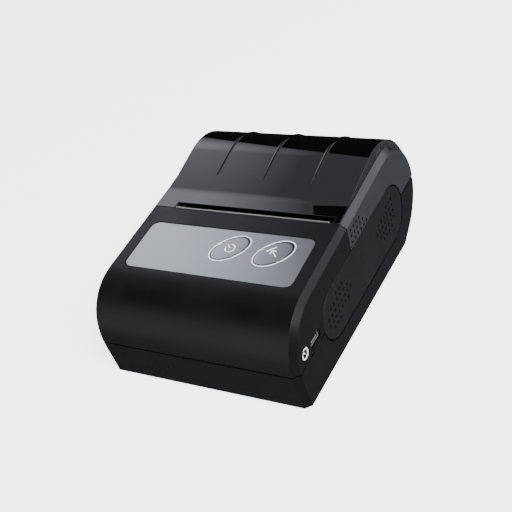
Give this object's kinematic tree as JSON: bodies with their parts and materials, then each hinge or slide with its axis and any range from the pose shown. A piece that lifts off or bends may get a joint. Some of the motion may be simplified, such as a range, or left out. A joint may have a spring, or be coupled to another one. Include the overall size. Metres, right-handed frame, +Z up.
{
  "type": "thermal receipt printer",
  "caption": "Small portable receipt printer with a curved black clamshell case, smoked paper cover, silver key film and oval keys, side grip pads and a geared platen.",
  "frame": {"origin": "on the table under the middle of the case, centred in width and length", "axes": "+X to the side with the two ports, +Y from the curved front to the rear hinge, +Z up"},
  "size_m": [0.079, 0.108, 0.0469],
  "materials": {
    "case_black": "satin moulded",
    "cover_black": "satin moulded",
    "window_smoke": "polished smoked transparent",
    "pad_rubber": "fine matt",
    "film_silver": "printed silver, satin",
    "key_silver": "printed silver, satin",
    "blade_steel": "stamped",
    "steel": "bright",
    "alu": "as cast",
    "head_ceramic": "glazed",
    "mech_plastic": "glass filled",
    "gear_plastic": "moulded acetal",
    "brass": "turned",
    "platen_rubber": "ground matt",
    "bush": "moulded",
    "board": "solder mask",
    "chips": "moulded",
    "battery": "shrink wrap",
    "cable": "flexible film"
  },
  "bodies": {
    "base": {"upper_housing": "case_black", "bottom_case": "case_black", "panel_film": "film_silver", "key_board": "board", "tact_switches": "steel", "tear_bar": "blade_steel", "head_chassis": "mech_plastic", "heat_sink": "alu", "thermal_head": "head_ceramic", "head_springs": "steel", "stepper_motor": "steel", "gear_pin": "steel", "hinge_pins": "steel", "inlay_left": "pad_rubber", "inlay_right": "pad_rubber", "main_board": "board", "board_parts": "chips", "dc_jack_sleeve": "steel", "dc_jack_body": "chips", "usb_socket": "steel", "battery_pack": "battery", "battery_lid": "case_black", "rubber_feet": "pad_rubber", "case_screws": "steel", "board_screws": "steel", "mech_screws": "steel", "lid_screw": "steel", "paper_tray": "mech_plastic", "paper_sensor": "chips", "head_cable": "cable"},
    "cover": {"cover_frame": "cover_black", "cover_window": "window_smoke", "platen_bushes": "bush"},
    "platen": {"platen_shaft": "steel", "platen_rubber": "platen_rubber", "platen_gear": "gear_plastic"},
    "reduction": {"reduction_gear": "gear_plastic"},
    "pinion": {"motor_pinion": "brass"},
    "power_key": {"power_key": "key_silver"},
    "feed_key": {"feed_key": "key_silver"}
  },
  "joints": [
    {"name": "cover_hinge", "type": "hinge", "parent": "base", "child": "cover", "pos_m": [0, 0.052, 0.0209], "axis": [-1, 0, 0], "range_deg": [0, 90]},
    {"name": "platen_spin", "type": "hinge", "parent": "cover", "child": "platen", "pos_m": [0, 0.0006, 0.0337], "axis": [1, 0, 0], "continuous": true},
    {"name": "reduction_spin", "type": "hinge", "parent": "base", "child": "reduction", "pos_m": [0, -0.00391, 0.02758], "axis": [1, 0, 0], "continuous": true},
    {"name": "pinion_spin", "type": "hinge", "parent": "base", "child": "pinion", "pos_m": [0, -0.0151, 0.02715], "axis": [1, 0, 0], "continuous": true},
    {"name": "power_key_press", "type": "slide", "parent": "base", "child": "power_key", "axis": [0, 0.0938, -0.9956], "range_m": [0, 0.0003], "stiffness_N_per_m": 2000},
    {"name": "feed_key_press", "type": "slide", "parent": "base", "child": "feed_key", "axis": [0, 0.0938, -0.9956], "range_m": [0, 0.0003], "stiffness_N_per_m": 2000}
  ],
  "couplings": [
    {"joint": "reduction_spin", "follows": "platen_spin", "ratio": -1.1111},
    {"joint": "pinion_spin", "follows": "platen_spin", "ratio": 3.3333}
  ]
}
